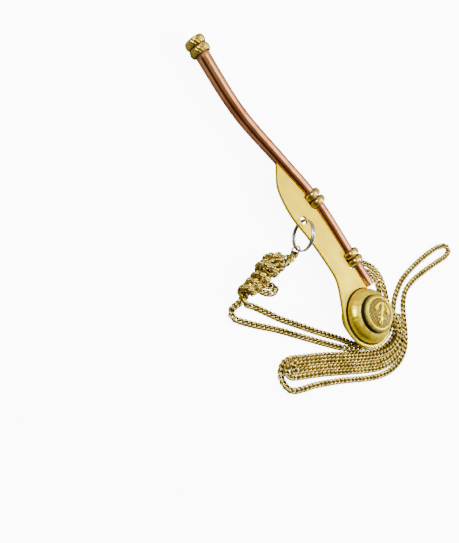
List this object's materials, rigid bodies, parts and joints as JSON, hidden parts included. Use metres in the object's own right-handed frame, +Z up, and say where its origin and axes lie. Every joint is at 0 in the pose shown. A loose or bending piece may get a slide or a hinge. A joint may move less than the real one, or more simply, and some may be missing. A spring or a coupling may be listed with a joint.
{
  "type": "boatswain's call",
  "caption": "Boatswain's call: bent copper pipe and hollow brass buoy on a flat brass keel, with a split ring and curb chain.",
  "frame": {"origin": "centre of the footprint of the call and its ring, on the surface that it lies on; the chain is left out of the footprint", "axes": "+X along the pipe from the buoy to the mouth, +Z up, away from the surface that the call lies on; +Y towards the keel's free edge"},
  "size_m": [0.1416, 0.1107, 0.0155],
  "materials": {
    "copper_pipe": "polished copper with long reflections, slightly tarnished",
    "keel_brass": "pale polished brass sheet with fine file and rubbing marks",
    "band_brass": "bright polished brass wire with dark solder in the joints",
    "rope_brass": "hammered brass, darker in its hollows",
    "buoy_brass": "yellow brass, burnished, with a brown patina low down",
    "cap_brass": "stamped brass relief, dark in its hollows and bright on its edges",
    "ring_wire": "plated spring wire",
    "chain_brass": "antique brass links, dark between them"
  },
  "bodies": {
    "call": {"gun_tube": "copper_pipe", "keel_plate": "keel_brass", "front_dome": "buoy_brass", "back_dome": "buoy_brass", "front_cap": "cap_brass", "back_cap": "cap_brass", "mouthpiece_end_ring": "rope_brass", "mouthpiece_inner_ring": "rope_brass", "lower_band_mouth_ring": "band_brass", "lower_band_muzzle_ring": "band_brass", "upper_band_mouth_ring": "band_brass", "upper_band_muzzle_ring": "band_brass", "chain_knot": "chain_brass", "chain_upper_run": "chain_brass", "chain_right_loop": "chain_brass", "chain_outer_run": "chain_brass", "chain_hank_tip": "chain_brass", "chain_hank": "chain_brass", "chain_muzzle_loop": "chain_brass", "chain_lower_run": "chain_brass"},
    "end_link": {"chain_end_link": "chain_brass"},
    "ring": {"split_ring": "ring_wire"}
  },
  "joints": [
    {"name": "ring_swing", "type": "hinge", "parent": "call", "child": "end_link", "pos_m": [-0.01522, 0.00668, 0.0023], "axis": [-0.6533, 0.6533, -0.3827], "range_deg": [-25, 25]},
    {"name": "ring_turn", "type": "hinge", "parent": "end_link", "child": "ring", "pos_m": [-0.01247, 0.00393, 0.00619], "axis": [0.7071, 0.7071, 0], "continuous": true}
  ]
}
